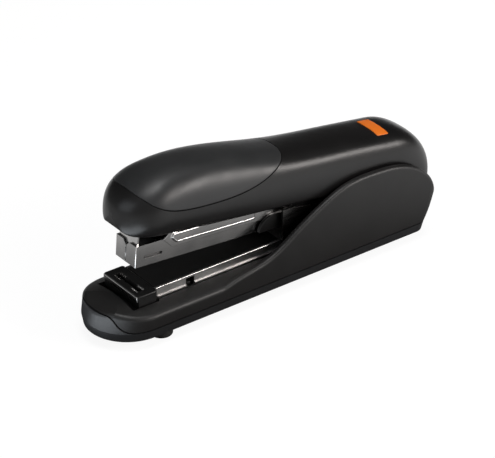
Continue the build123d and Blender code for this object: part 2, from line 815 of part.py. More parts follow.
with BuildPart() as pusher:
    with BuildSketch(Plane.YZ.offset(pusher_front)):
        with Locations((0, pusher_top)):
            Rectangle(2 * (channel_inner - pusher_gap), rail_rise + pusher_plate, align=downward)
        with Locations((0, rail_top + pusher_gap)):
            Rectangle(2 * (rail_half + pusher_gap), rail_rise, align=downward, mode=Mode.SUBTRACT)
    extrude(amount=pusher_length)
    with BuildSketch(Plane.YZ.offset(tongue_front)):
        with Locations((0, rod_z - tongue_drop)):
            Rectangle(2 * tongue_half, pusher_top - rod_z + tongue_drop, align=upward)
        with Locations((0, rod_z)):
            Circle(rod_radius + pin_clearance, mode=Mode.SUBTRACT)
    extrude(amount=pusher_back - tongue_front)

with BuildPart() as pusher_spring:
    with BuildSketch(Plane.YZ.offset(pusher_back)):
        with Locations((0, rod_z)):
            Circle(spring_radius)
            Circle(spring_radius - spring_wall, mode=Mode.SUBTRACT)
    extrude(amount=rail_back - rail_wall - pusher_back)

with BuildPart() as magazine_arm:
    with BuildSketch(Plane.XZ.offset(channel_half)):
        with BuildLine():
            Polyline((plate_x, plate_low_z), (hinge_x, plate_low_z), (hinge_x, plate_top_z - panel_border),
                     (hinge_x - 2 * ear_radius, plate_top_z), (plate_x, plate_top_z),
                     (plate_x - plate_slant, plate_low_z + plate_slant), close=True)
        make_face()
        with Locations((hinge_x, hinge_z)):
            Circle(ear_radius)
            Circle(pin_radius + pin_clearance, mode=Mode.SUBTRACT)
    extrude(amount=arm_plate)
    with BuildSketch(Plane.XZ.offset(magazine_half)):
        with BuildLine():
            low, high = plate_low_z + panel_border, plate_top_z - panel_border
            Polyline((plate_x + panel_border, low), (panel_x, low), (panel_x, high), (plate_x, high),
                     (plate_x - plate_slant + 2 * panel_border, plate_low_z + plate_slant), close=True)
        make_face()
    extrude(amount=panel_rise, taper=panel_taper)
    mirror(about=Plane.XZ)
    with BuildSketch(Plane.XY.offset(plate_top_z)):
        with Locations((saddle_front_x + saddle_bridge, 0)):
            Rectangle(saddle_bridge_length, 2 * channel_half, align=backward)
    extrude(amount=-arm_plate)

with BuildPart() as magazine_saddle:
    with BuildSketch(Plane.XZ.offset(magazine_half)):
        with BuildLine():
            low_front = (saddle_front_x, magazine_z + saddle_low)
            brow = (saddle_front_x + saddle_bridge, hinge_z + saddle_brow)
            cheek = (saddle_front_x + saddle_rise_run, hinge_z - saddle_dip)
            Spline(low_front, cheek, brow, tangents=((0.1, 1), (1, 0.1)))
            Polyline(brow, (brow[0] + saddle_chamfer, saddle_top_z),
                     (saddle_back_x - saddle_chamfer, saddle_top_z), (saddle_back_x, hinge_z),
                     (saddle_back_x, magazine_z + saddle_low), low_front)
        make_face()
    extrude(amount=saddle_wall)
    mirror(about=Plane.XZ)
    with BuildSketch(Plane.XY.offset(saddle_top_z)):
        with Locations((saddle_front_x + saddle_bridge + saddle_chamfer, 0)):
            Rectangle(saddle_bridge_length, 2 * magazine_half, align=backward)
    extrude(amount=plate_top_z - saddle_top_z)

with BuildPart() as handle_spring:
    with BuildSketch(Plane.XZ):
        with BuildLine():
            foot, bend, crest, tip = handle_leaf
            low, high = saddle_top_z + leaf / 2, frame_top - frame_plate - leaf
            path = [(hinge_x - foot, low), (hinge_x - bend, low)]
            path.append((hinge_x - crest, high + crest * stroke_slope))
            path.append((hinge_x - tip, high + (crest - leaf_droop) * stroke_slope))
            FilletPolyline(*path, radius=leaf_bend)
        trace(line_width=leaf)
    extrude(amount=leaf_half, both=True)

# Handle, drawn pressed: its cover with the grip's inlay, and the steel lever with the driver
with BuildPart() as handle_cavity:
    add(handle_body(cover_wall))
    with BuildSketch(Plane.XY.offset(frame_top)):
        with Locations(*[(handle_nose_x + run, 0) for run in rib_runs]):
            Rectangle(rib_thickness, 2 * frame_half)
    extrude(amount=grip_rise, mode=Mode.SUBTRACT)

with BuildPart() as handle_cover:
    add(handle_body(0))
    add(handle_cavity.part, mode=Mode.SUBTRACT)
    add(pad_zone(pad_gap), mode=Mode.SUBTRACT)
    with BuildSketch(Plane.XZ):
        with Locations((hinge_x, hinge_z)):
            Circle(pin_head_radius + running_gap)
    extrude(amount=pin_half + running_gap, both=True, mode=Mode.SUBTRACT)

with BuildPart() as grip_pad:
    add(handle_body(0))
    add(pad_zone(0), mode=Mode.INTERSECT)

with BuildPart() as handle_frame:
    with BuildSketch(Plane.XZ.offset(frame_inner)):
        with BuildLine():
            Polyline((frame_front, handle_z + frame_low), (frame_front, frame_top),
                     (hinge_x - frame_tail, frame_top), (hinge_x, hinge_z + ear_radius),
                     (hinge_x, hinge_z - ear_radius),
                     (hinge_x - frame_belly, handle_z + frame_low_back), close=True)
        make_face()
        with Locations((hinge_x, hinge_z)):
            Circle(ear_radius)
            Circle(pin_radius + pin_clearance, mode=Mode.SUBTRACT)
    extrude(amount=frame_plate)
    mirror(about=Plane.XZ)
    with BuildSketch(Plane.XY.offset(frame_top)):
        with Locations((frame_front, 0)):
            Rectangle(hinge_x - frame_tail - frame_front, 2 * frame_inner, align=backward)
    extrude(amount=-frame_plate)
    with BuildSketch(Plane.YZ.offset(frame_front)):
        with Locations((0, frame_top)):
            Rectangle(2 * tab_half, frame_rise - tab_low, align=downward)
        with Locations((-rivet_spread, rivet_z), (rivet_spread, rivet_z)):
            Circle(rivet_radius, mode=Mode.SUBTRACT)
    extrude(amount=frame_plate)

with BuildPart() as driver_blade:
    with BuildSketch(Plane.YZ.offset(frame_front)):
        with Locations((0, magazine_z)):
            Rectangle(2 * driver_half, frame_top - frame_plate - magazine_z, align=upward)
        with Locations((-rivet_spread, rivet_z), (rivet_spread, rivet_z)):
            Circle(rivet_radius, mode=Mode.SUBTRACT)
    extrude(amount=-driver_plate)

with BuildPart() as driver_rivets:
    with BuildSketch(Plane.YZ.offset(frame_front - driver_plate)):
        with Locations((-rivet_spread, rivet_z), (rivet_spread, rivet_z)):
            Circle(rivet_radius)
    extrude(amount=driver_plate + frame_plate)
    for face_x, side in ((frame_front - driver_plate, -1), (frame_front + frame_plate, 1)):
        with BuildSketch(Plane.YZ.offset(face_x)):
            with Locations((-rivet_spread, rivet_z), (rivet_spread, rivet_z)):
                Circle(rivet_head_radius)
        extrude(amount=side * rivet_head)

finish(base_shell, "base_shell")
finish(bottom_cover, "bottom_cover")
finish(rubber_feet, "rubber_feet")
finish(base_screws, "base_screws")
finish(base_frame, "base_frame")
finish(hinge_pin, "hinge_pin")
finish(table_pin, "table_pin")
finish(clincher, "clincher")
finish(table_arm, "table_arm")
finish(arm_liner, "arm_liner")
finish(table_block, "table_block")
finish(table_edge, "table_edge")
finish(support_slide, "support_slide")
finish(table_spring, "table_spring")
finish(magazine_spring, "magazine_spring")
finish(magazine_channel, "magazine_channel", magazine_angle)
finish(core_rail, "core_rail", magazine_angle)
finish(pusher_rod, "pusher_rod", magazine_angle)
finish(pusher, "pusher", magazine_angle)
finish(pusher_spring, "pusher_spring", magazine_angle)
finish(magazine_arm, "magazine_arm", magazine_angle)
finish(magazine_saddle, "magazine_saddle", magazine_angle)
finish(handle_spring, "handle_spring", magazine_angle)
finish(handle_cover, "handle_cover", magazine_angle + handle_angle)
finish(grip_pad, "grip_pad", magazine_angle + handle_angle)
finish(handle_frame, "handle_frame", magazine_angle + handle_angle)
finish(driver_blade, "driver_blade", magazine_angle + handle_angle)
finish(driver_rivets, "driver_rivets", magazine_angle + handle_angle)
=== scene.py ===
# %% [markdown]
# # A black desk stapler
#
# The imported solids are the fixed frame: every piece made here sits where they say. The lesson
# goes from the camera and the studio, through the finishes, to the pieces that are modelled
# again or added: eased edges, the soft grip, the bare badge, the liners of the table's pockets,
# the springs, the ribs and bends of the sheet steel, and the screws.

import json
import math

import bmesh
import bpy
from mathutils import Matrix, Vector
from mathutils.bvhtree import BVHTree
from mathutils.kdtree import KDTree

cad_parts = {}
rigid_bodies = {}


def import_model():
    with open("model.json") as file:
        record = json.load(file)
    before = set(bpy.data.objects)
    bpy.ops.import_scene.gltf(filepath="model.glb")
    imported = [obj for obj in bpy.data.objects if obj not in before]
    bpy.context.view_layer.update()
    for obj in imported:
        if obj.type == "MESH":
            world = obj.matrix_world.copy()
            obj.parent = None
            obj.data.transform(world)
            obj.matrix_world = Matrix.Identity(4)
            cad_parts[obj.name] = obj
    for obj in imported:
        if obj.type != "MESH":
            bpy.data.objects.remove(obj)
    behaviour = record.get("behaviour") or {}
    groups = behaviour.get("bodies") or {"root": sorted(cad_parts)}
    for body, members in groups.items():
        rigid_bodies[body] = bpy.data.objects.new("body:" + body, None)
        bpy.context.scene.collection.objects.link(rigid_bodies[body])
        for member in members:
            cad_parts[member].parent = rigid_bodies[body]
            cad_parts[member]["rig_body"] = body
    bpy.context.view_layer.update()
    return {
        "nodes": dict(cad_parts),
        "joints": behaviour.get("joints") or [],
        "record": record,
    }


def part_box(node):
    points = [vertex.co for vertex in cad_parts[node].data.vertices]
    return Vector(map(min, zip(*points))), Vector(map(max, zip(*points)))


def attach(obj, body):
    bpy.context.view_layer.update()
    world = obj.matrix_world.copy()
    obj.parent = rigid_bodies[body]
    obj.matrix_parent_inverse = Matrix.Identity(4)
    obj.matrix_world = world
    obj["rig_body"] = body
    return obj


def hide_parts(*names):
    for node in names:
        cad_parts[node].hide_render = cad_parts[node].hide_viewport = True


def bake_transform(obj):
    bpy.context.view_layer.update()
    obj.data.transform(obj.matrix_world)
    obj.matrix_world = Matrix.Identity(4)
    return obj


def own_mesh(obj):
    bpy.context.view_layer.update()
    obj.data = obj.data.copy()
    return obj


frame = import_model()
nodes = frame["nodes"]
scene = bpy.context.scene
mm = 0.001
print("nodes:", len(nodes))

# %% [markdown]
# ## Camera
#
# The photograph was taken with a long lens from in front of the nose, on the near side. A long
# lens keeps parallel edges nearly parallel, so the camera stands a metre away. Its heading and
# height are angles, and it looks at a point near the middle of the stapler. It could be placed by
# eye, but numbers can be corrected by a fraction of a degree.

# %% Camera
image_width = 495
sensor_width = 36.0
focal_pixels = 2309.5
view_heading = math.radians(37.093)
view_height = math.radians(30.425)
view_distance = 1.0
view_target = Vector((-5.94, 0, 25.45)) * mm

forward = Vector((math.sin(view_heading) * math.cos(view_height),
                  math.cos(view_heading) * math.cos(view_height),
                  -math.sin(view_height)))
camera_data = bpy.data.cameras.new("photo_camera")
camera_data.sensor_width = sensor_width
camera_data.lens = focal_pixels * sensor_width / image_width
camera_data.clip_start = 0.05
camera_data.clip_end = 50
camera = bpy.data.objects.new("photo_camera", camera_data)
camera.location = view_target - forward * view_distance
camera.rotation_euler = forward.to_track_quat("-Z", "Y").to_euler()
scene.collection.objects.link(camera)
scene.camera = camera
print("camera at", [round(value, 3) for value in camera.location])

# %% [markdown]
# ## Studio lamps
#
# Black plastic shows its shape by what it mirrors. Area lamps were chosen because their size sets
# how soft each highlight is, where a point lamp would leave a hard spot. One soft box stands
# behind the stapler on the near side and draws the bright band along the shoulder of the handle.
# A cooler box in front of the nose lights the bumper, and a wide one overhead lights the floor. A
# small card on the floor in front throws a little light up at the nose, and a narrow strip high up
# behind picks out the edges.

# %% Lamps
scene.view_settings.view_transform = "Standard"


def soft_box(name, place, aim, width, height, watts, colour):
    """Add a soft rectangular lamp that faces a point."""
    lamp = bpy.data.lights.new(name, "AREA")
    lamp.shape = "RECTANGLE"
    lamp.size = width
    lamp.size_y = height
    lamp.energy = watts
    lamp.color = colour
    holder = bpy.data.objects.new(name, lamp)
    holder.location = place
    holder.rotation_euler = (Vector(aim) - Vector(place)).to_track_quat("-Z", "Y").to_euler()
    scene.collection.objects.link(holder)
    return holder


warm_white = (1.0, 0.95, 0.92)
cool_white = (0.88, 0.94, 1.0)
plain_white = (1.0, 1.0, 1.0)
soft_box("shoulder_box", (0.46, -0.59, 0.35), (0.02, 0, 0.04), 0.46, 0.22, 4.2, warm_white)
soft_box("nose_box", (-0.85, 0.10, 0.40), (-0.05, 0, 0.03), 0.60, 0.50, 1.1, cool_white)
soft_box("floor_box", (-0.05, -0.10, 1.30), (0, 0, 0), 0.50, 0.50, 6.5, plain_white)
bounce_card = soft_box(
    "bounce_card", (-0.13, -0.03, 0.002), (-0.13, -0.03, 1), 0.06, 0.09, 0.06, cool_white)
bounce_card.visible_camera = False
soft_box("edge_strip", (0.47, -0.09, 0.80), (0, 0, 0.03), 0.25, 0.06, 0.15, plain_white)
print("lamps:", [light.name for light in bpy.data.lights])

# %% [markdown]
# ## World
#
# A dark satin top mirrors whatever lies behind the stapler, so the world is darker on that side
# and paler towards the camera. A picture of a studio would do that too, but two nodes are enough:
# one compares each direction with the dark one, and one turns the answer into a brightness.

# %% World
def remapped(tree, value, from_range, to_range, blend="LINEAR"):
    """Stretch one range of values onto another."""
    stretch = tree.nodes.new("ShaderNodeMapRange")
    stretch.interpolation_type = blend
    stretch.inputs["From Min"].default_value = from_range[0]
    stretch.inputs["From Max"].default_value = from_range[1]
    stretch.inputs["To Min"].default_value = to_range[0]
    stretch.inputs["To Max"].default_value = to_range[1]
    tree.links.new(value, stretch.inputs["Value"])
    return stretch.outputs["Result"]


dark_side = Vector((0.52, 0.69, 0.51)).normalized()
facing_range = (-0.2, 0.75)
pale_and_dark = (0.34, 0.05)
world = bpy.data.worlds.new("studio")
world.use_nodes = True
sky = world.node_tree
direction = sky.nodes.new("ShaderNodeTexCoord")
facing = sky.nodes.new("ShaderNodeVectorMath")
facing.operation = "DOT_PRODUCT"
facing.inputs[1].default_value = dark_side
sky.links.new(direction.outputs["Generated"], facing.inputs[0])
backdrop = sky.nodes["Background"]
backdrop.inputs["Color"].default_value = (1, 1, 1, 1)
level = remapped(sky, facing.outputs["Value"], facing_range, pale_and_dark)
sky.links.new(level, backdrop.inputs["Strength"])
scene.world = world
print("world darkest towards", [round(value, 2) for value in dark_side])

# %% [markdown]
# ## Floor
#
# The stapler stands on white paper. Lamps strong enough to make paper white would wash out the
# black plastic, so most of the paper's brightness is its own: the camera sees it white, and the
# lamps add the rest, which takes the stapler's shadow. What steel and plastic mirror of the paper
# is painted: a painted shadow, dark close to the stapler, and painted light that grows paler away
# from it and towards the rear end.

# %% Floor
floor_reach = 4.0
floor_corners = [(-floor_reach, -floor_reach, 0), (floor_reach, -floor_reach, 0),
                 (floor_reach, floor_reach, 0), (-floor_reach, floor_reach, 0)]
floor_mesh = bpy.data.meshes.new("floor")
floor_mesh.from_pydata(floor_corners, [], [(0, 1, 2, 3)])
floor = bpy.data.objects.new("floor", floor_mesh)
scene.collection.objects.link(floor)
print("floor reaches", floor_reach, "m")

# %% Floor paper
def combined(tree, operation, first, second):
    """Add or multiply two sockets, or a socket and a number."""
    sum_node = tree.nodes.new("ShaderNodeMath")
    sum_node.operation = operation
    tree.links.new(first, sum_node.inputs[0])
    if isinstance(second, float):
        sum_node.inputs[1].default_value = second
    else:
        tree.links.new(second, sum_node.inputs[1])
    return sum_node.outputs[0]


paper_grey = 0.15
paper_glow = 0.9
# These numbers shape the painted reflection: a painted shadow round the stapler, with its reach, shift
# and squeeze, and painted light towards the rear end.
painted_shadow_reach = (0.050, 0.125)
zone_shift = (0.011, 0, 0)
zone_squeeze = (0.55, 1, 1)
rear_run = (-0.12, 0.04)
painted_rear_levels = (0.52, 1.0)
paper = bpy.data.materials.new("floor_paper")
paper.use_nodes = True
sheet = paper.node_tree
sheet.nodes.remove(sheet.nodes["Principled BSDF"])
rays = sheet.nodes.new("ShaderNodeLightPath")
seen = combined(sheet, "ADD", rays.outputs["Is Camera Ray"], rays.outputs["Is Transmission Ray"])
seen_glow = combined(sheet, "MULTIPLY", seen, paper_glow)

floor_space = sheet.nodes.new("ShaderNodeTexCoord")
narrowed = sheet.nodes.new("ShaderNodeMapping")
narrowed.inputs["Location"].default_value = zone_shift
narrowed.inputs["Scale"].default_value = zone_squeeze
away = sheet.nodes.new("ShaderNodeVectorMath")
away.operation = "LENGTH"
lengthways = sheet.nodes.new("ShaderNodeSeparateXYZ")
sheet.links.new(floor_space.outputs["Object"], narrowed.inputs["Vector"])
sheet.links.new(narrowed.outputs["Vector"], away.inputs[0])
sheet.links.new(floor_space.outputs["Object"], lengthways.inputs["Vector"])
# What glossy rays see of the paper is painted: a painted shadow close to the stapler, and painted light
# towards the rear end.
painted_shadow_fade = remapped(sheet, away.outputs["Value"], painted_shadow_reach, (0, 1), "SMOOTHSTEP")
painted_rear_light = remapped(sheet, lengthways.outputs["X"], rear_run, painted_rear_levels)
painted_reflection_glow = combined(sheet, "MULTIPLY", painted_shadow_fade, painted_rear_light)
mirrored_glow = combined(sheet, "MULTIPLY", painted_reflection_glow, rays.outputs["Is Glossy Ray"])

own_light = sheet.nodes.new("ShaderNodeEmission")
matt = sheet.nodes.new("ShaderNodeBsdfDiffuse")
matt.inputs["Color"].default_value = (paper_grey, paper_grey, paper_grey, 1)
both = sheet.nodes.new("ShaderNodeAddShader")
sheet.links.new(combined(sheet, "ADD", seen_glow, mirrored_glow), own_light.inputs["Strength"])
sheet.links.new(matt.outputs[0], both.inputs[0])
sheet.links.new(own_light.outputs[0], both.inputs[1])
sheet.links.new(both.outputs[0], sheet.nodes["Material Output"].inputs["Surface"])
floor_mesh.materials.append(paper)
print("paper's own light:", paper_glow)

# %% [markdown]
# ## Moulded plastic
#
# The cover, the base and the tray are moulded in black plastic with a fine spark-eroded grain.
# A picture of the grain would need an image, so the grain is noise in the piece's own space.
# Three noises work together: a fine one raises the grain, and two slow ones make the colour and
# the gloss drift a little, as they do on a part that has been handled.

# %% Noise and grain
def noise(tree, space, scale, detail):
    """Add a noise that reads the piece's own space."""
    texture = tree.nodes.new("ShaderNodeTexNoise")
    texture.inputs["Scale"].default_value = scale
    texture.inputs["Detail"].default_value = detail
    tree.links.new(space, texture.inputs["Vector"])
    return texture.outputs["Fac"]


def spread(tree, factor, limits):
    """Turn a noise into a value that drifts between two limits."""
    return remapped(tree, factor, (0.3, 0.7), limits)


def drift(tree, factor, dark, pale):
    """Turn a noise into a colour that drifts between two shades."""
    ramp = tree.nodes.new("ShaderNodeValToRGB")
    ramp.color_ramp.elements[0].position = 0.35
    ramp.color_ramp.elements[0].color = (*dark, 1)
    ramp.color_ramp.elements[1].position = 0.65
    ramp.color_ramp.elements[1].color = (*pale, 1)
    tree.links.new(factor, ramp.inputs["Fac"])
    return ramp.outputs["Color"]


def raise_grain(tree, shader, factor, strength, height):
    """Let a noise stand up from the surface."""
    bump = tree.nodes.new("ShaderNodeBump")
    bump.inputs["Strength"].default_value = strength
    bump.inputs["Distance"].default_value = height
    tree.links.new(factor, bump.inputs["Height"])
    tree.links.new(bump.outputs["Normal"], shader.inputs["Normal"])


def blank_finish(name):
    """Start a finish: its material, its node tree, its shader and the piece's own space."""
    material = bpy.data.materials.new(name)
    material.use_nodes = True
    tree = material.node_tree
    space = tree.nodes.new("ShaderNodeTexCoord").outputs["Object"]
    return material, tree, tree.nodes["Principled BSDF"], space


print("ways to vary a surface: noise, spread, drift and raised grain")

# %% Moulded plastic
def moulded_plastic(name, dark, pale, gloss, grain, height, shine):
    """Moulded plastic: gloss is its roughness range, and grain its pitch and height in mm."""
    material, tree, shader, space = blank_finish(name)
    slow = noise(tree, space, 45, 3)
    tree.links.new(drift(tree, slow, dark, pale), shader.inputs["Base Color"])
    tree.links.new(spread(tree, noise(tree, space, 130, 4), gloss), shader.inputs["Roughness"])
    raise_grain(tree, shader, noise(tree, space, 1 / (grain * mm), 2), 0.25, height * mm)
    shader.inputs["Specular IOR Level"].default_value = shine
    return material


# Each row: darker shade, paler shade, gloss range, the grain's pitch and height, and the shine.
plastics = {
    "cover_plastic": ((0.0045, 0.0042, 0.0042), (0.0065, 0.006, 0.006), (0.30, 0.35), 0.35, 0.015, 0.42),
    "base_plastic": ((0.005, 0.0046, 0.0045), (0.007, 0.0065, 0.0063), (0.42, 0.49), 0.35, 0.02, 0.5),
    "tray_plastic": ((0.0075, 0.008, 0.009), (0.0105, 0.011, 0.0125), (0.42, 0.50), 0.4, 0.025, 0.65),
    "joint_plastic": ((0.004, 0.004, 0.004), (0.006, 0.006, 0.006), (0.28, 0.36), 0.5, 0.01, 0.5),
    "table_plastic": ((0.004, 0.004, 0.004), (0.006, 0.006, 0.006), (0.34, 0.42), 0.45, 0.015, 0.5),
    "follower_plastic": ((0.030, 0.030, 0.031), (0.040, 0.040, 0.041), (0.40, 0.48), 0.5, 0.02, 0.5),
}
finishes = {name: moulded_plastic(name, *recipe) for name, recipe in plastics.items()}
print("plastics:", sorted(plastics))

# %% [markdown]
# ## Rubber
#
# The grip's inlay and the feet are soft and dull. They could borrow the plastic's recipe, but
# rubber has more grain and a little sheen, which is what fine dust and skin oil leave on it, so
# they share a recipe of their own. The grip is worn smoother than the feet.

# %% Rubber
def soft_rubber(name, dark, pale, gloss, grain, height, sheen):
    """Dull rubber with a pebbled grain and a faint sheen."""
    material, tree, shader, space = blank_finish(name)
    tree.links.new(drift(tree, noise(tree, space, 60, 4), dark, pale), shader.inputs["Base Color"])
    tree.links.new(spread(tree, noise(tree, space, 160, 3), gloss), shader.inputs["Roughness"])
    raise_grain(tree, shader, noise(tree, space, 1 / (grain * mm), 3), 0.35, height * mm)
    shader.inputs["Sheen Weight"].default_value = sheen
    shader.inputs["Sheen Roughness"].default_value = 0.5
    return material


# Each row: darker shade, paler shade, gloss range, the grain's pitch and height, and the sheen.
rubbers = {
    "grip_rubber": ((0.0155, 0.0162, 0.017), (0.020, 0.0208, 0.0216), (0.37, 0.45), 0.45, 0.025, 0.04),
    "foot_rubber": ((0.012, 0.012, 0.012), (0.020, 0.020, 0.020), (0.62, 0.72), 0.6, 0.04, 0.03),
}
for name, recipe in rubbers.items():
    finishes[name] = soft_rubber(name, *recipe)
print("rubbers:", sorted(rubbers))

# %% [markdown]
# ## Steel
#
# The magazine is bright plated sheet, rolled along its length. Rolling leaves fine streaks, so the
# noise is stretched: many cycles across the sheet and few along it. The streaks vary the roughness
# and stand up a hair, and the shader's own anisotropy pulls the highlights across them. The table
# arm is brushed and duller, the springs are darker and oiled, and the bracket in the base is
# blackened. One recipe with other numbers gives all four.

# %% Steel
def rolled_steel(name, dark, pale, gloss, streaks, anisotropy):
    """Sheet steel with rolling streaks along X."""
    material, tree, shader, space = blank_finish(name)
    stretch = tree.nodes.new("ShaderNodeMapping")
    stretch.inputs["Scale"].default_value = streaks
    tree.links.new(space, stretch.inputs["Vector"])
    along = noise(tree, stretch.outputs["Vector"], 1.0, 4)
    tree.links.new(drift(tree, noise(tree, space, 90, 4), dark, pale), shader.inputs["Base Color"])
    tree.links.new(spread(tree, along, gloss), shader.inputs["Roughness"])
    raise_grain(tree, shader, along, 0.08, 0.01 * mm)
    shader.inputs["Metallic"].default_value = 1.0
    shader.inputs["Anisotropic"].default_value = anisotropy
    return material


# Each row: darker shade, paler shade, gloss range, streaks per metre each way, and the anisotropy.
steels = {
    "plated_steel": ((0.54, 0.535, 0.53), (0.68, 0.67, 0.66), (0.13, 0.23), (60, 2500, 2500), 0.35),
    "spring_steel": ((0.30, 0.29, 0.28), (0.42, 0.41, 0.40), (0.26, 0.36), (80, 1800, 1800), 0.2),
    "brushed_steel": ((0.44, 0.435, 0.43), (0.58, 0.57, 0.56), (0.32, 0.44), (60, 2200, 2200), 0.3),
    "dark_steel": ((0.07, 0.068, 0.066), (0.11, 0.107, 0.104), (0.24, 0.34), (60, 2200, 2200), 0.2),
}
for name, recipe in steels.items():
    finishes[name] = rolled_steel(name, *recipe)
print("steels:", sorted(steels))

# %% [markdown]
# ## Dress the solids
#
# Each solid already names the finish that it takes, so a loop gives every node its material. Only
# the table arm and the base's bracket are dressed in a steel of their own. Solids whose shape is
# right keep their own mesh and only change their material.

# %% Dress the solids
node_slots = {row["node"]: row["material_slot"] for row in frame["record"]["subparts"]}
own_finish = {"table_arm": "brushed_steel", "base_frame": "dark_steel"}
for name, node in nodes.items():
    node.data.materials.clear()
    node.data.materials.append(finishes[own_finish.get(name, node_slots[name])])
print("dressed", len(node_slots), "nodes")

# %% [markdown]
# ## Eased edges
#
# Sheet steel and moulded blocks never end in a knife edge: the press and the mould leave a small
# round there, and that round is what catches the light. A bevel in the material would only fake
# it. So a copy of the solid is welded, its flat faces are joined up and its sharp edges are
# bevelled. The copy then stands for the solid.

# %% Eased edges
def welded_copy(node_name):
    """Copy a solid's loose triangles into one closed surface."""
    surface = bmesh.new()
    surface.from_mesh(nodes[node_name].data)
    bmesh.ops.remove_doubles(surface, verts=surface.verts, dist=0.001 * mm)
    return surface


def kept_mesh(name, surface):
    """Keep a worked surface as a mesh."""
    mesh = bpy.data.meshes.new(name)
    surface.to_mesh(mesh)
    surface.free()
    return mesh


def add_piece(name, mesh, body, slot, stands_for=None):
    """Put a finished mesh in the scene on the body that carries it."""
    piece = bpy.data.objects.new(name, mesh)
    scene.collection.objects.link(piece)
    mesh.materials.clear()
    mesh.materials.append(finishes[own_finish.get(stands_for, slot)])
    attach(piece, body)
    if stands_for:
        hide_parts(stands_for)
    return piece


flat_angle = math.radians(0.5)
sharp_angle = math.radians(35)


def ease_edges(node_name, width):
    """Stand a copy of the solid with rounded edges in its place."""
    surface = welded_copy(node_name)
    bmesh.ops.dissolve_limit(surface, angle_limit=flat_angle, verts=surface.verts, edges=surface.edges)
    sharp = [edge for edge in surface.edges
             if edge.is_manifold and edge.calc_face_angle() > sharp_angle]
    bmesh.ops.bevel(surface, geom=sharp, offset=width, segments=3, profile=0.5,
                    affect="EDGES", clamp_overlap=True)
    piece_name = node_name + "_eased"
    body = nodes[node_name]["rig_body"]
    add_piece(piece_name, kept_mesh(piece_name, surface), body, node_slots[node_name], node_name)
    return len(sharp)


edge_rounds = {
    "magazine_channel": 0.3 * mm,
    "magazine_arm": 0.3 * mm,
    "table_arm": 0.3 * mm,
    "table_edge": 0.5 * mm,
    "table_block": 0.25 * mm,
    "clincher": 0.15 * mm,
    "magazine_saddle": 0.25 * mm,
    "base_frame": 0.2 * mm,
    "support_slide": 0.2 * mm,
}
for name, width in edge_rounds.items():
    print(name, "edges eased:", ease_edges(name, width))

# %% [markdown]
# ## Soft grip
#
# The inlay of the handle is moulded rubber, so its rim is rounded and sits in a fine groove. It
# could be sculpted, but rays give the true surface: each one runs in from outside, square to the
# handle's length, and stops on the solid. The handle is turned level for this, so that its length
# lies along X. Halving the angle again and again finds where the rim lies. Points close to the
# rim then sink along a quarter circle, and a second layer below closes the skin.

# %% Turn the handle level
joints = {row["name"]: row for row in frame["joints"]}
to_hinge = Matrix.Translation(Vector(joints["handle_hinge"]["pos_m"]))


def raised_by(*hinges):
    """The turn from where a part lies level to where it rests."""
    angle = -sum(joints[name]["range_deg"][0] for name in hinges)
    return to_hinge @ Matrix.Rotation(math.radians(angle), 4, "Y") @ to_hinge.inverted()


raise_handle = raised_by("magazine_hinge", "handle_hinge")


def level_surface(node_name):
    """Search tree and points of a solid of the handle, turned level."""
    surface = welded_copy(node_name)
    surface.transform(raise_handle.inverted())
    tree = BVHTree.FromBMesh(surface)
    spots = [vertex.co.copy() for vertex in surface.verts]
    surface.free()
    return tree, spots


pad_tree, pad_spots = level_surface("grip_pad")
pad_front = min(spot.x for spot in pad_spots)
pad_back = max(spot.x for spot in pad_spots)
print("grip runs from", round(pad_front, 4), "to", round(pad_back, 4))

# %% Find the grip's rim
axis_below = 4 * mm
ray_axis_z = min(spot.z for spot in pad_spots) - axis_below
ray_reach = 60 * mm
least_facing = 0.2
pad_rows = 110
pad_columns = 81
pad_inset = 0.12 * mm


def pad_hit(x, angle):
    """Where a ray from outside meets the inlay, and the surface's direction there."""
    outward = Vector((0, math.sin(angle), math.cos(angle)))
    start = Vector((x, 0, ray_axis_z)) + outward * ray_reach
    place, normal, _, _ = pad_tree.ray_cast(start, -outward)
    if place is None or normal.dot(outward) < least_facing:
        return None
    return place, normal


def rim_angle(x, side):
    """Largest angle to one side at which a ray still meets the inlay's outside."""
    inside, outside = 0.0, math.pi / 2
    for _ in range(20):
        middle = (inside + outside) / 2
        if pad_hit(x, side * middle):
            inside = middle
        else:
            outside = middle
    return inside


def eased_steps(count, crowd):
    """Values from -1 to 1 that crowd together near both ends."""
    steps = []
    for index in range(count):
        even = 2 * index / (count - 1) - 1
        steps.append((1 - crowd) * even + crowd * math.sin(even * math.pi / 2))
    return steps


pad_middle = (pad_front + pad_back) / 2
pad_half = (pad_back - pad_front) / 2 - pad_inset
pad_grid = []
for along in eased_steps(pad_rows, 0.97):
    x = pad_middle + along * pad_half
    edge_angle = min(rim_angle(x, -1), rim_angle(x, 1))
    pad_grid.append([pad_hit(x, edge_angle * across) for across in eased_steps(pad_columns, 0.9)])
missed = sum(spot is None for row in pad_grid for spot in row)
print("grip rays:", pad_rows * pad_columns, "missed:", missed)

# %% Close a grid into a skin
def closed_skin(name, grid, depth, shape_top):
    """Close a grid of surface points into a skin of the given depth."""
    rows, columns = len(grid), len(grid[0])
    top = [shape_top(place, normal) for row in grid for place, normal in row]
    bottom = [place - normal * depth for row in grid for place, normal in row]
    below = rows * columns
    faces = []
    for row in range(rows - 1):
        for column in range(columns - 1):
            corner = row * columns + column
            quad = (corner, corner + 1, corner + columns + 1, corner + columns)
            faces.append(quad)
            faces.append(tuple(below + index for index in reversed(quad)))
    rim = list(range(columns))
    rim += [row * columns + columns - 1 for row in range(1, rows)]
    rim += [(rows - 1) * columns + column for column in range(columns - 2, -1, -1)]
    rim += [row * columns for row in range(rows - 2, 0, -1)]
    for index, corner in enumerate(rim):
        after = rim[(index + 1) % len(rim)]
        faces.append((after, corner, below + corner, below + after))
    mesh = bpy.data.meshes.new(name)
    mesh.from_pydata(top + bottom, [], faces)
    surface = bmesh.new()
    surface.from_mesh(mesh)
    bmesh.ops.recalc_face_normals(surface, faces=surface.faces)
    surface.to_mesh(mesh)
    surface.free()
    return mesh


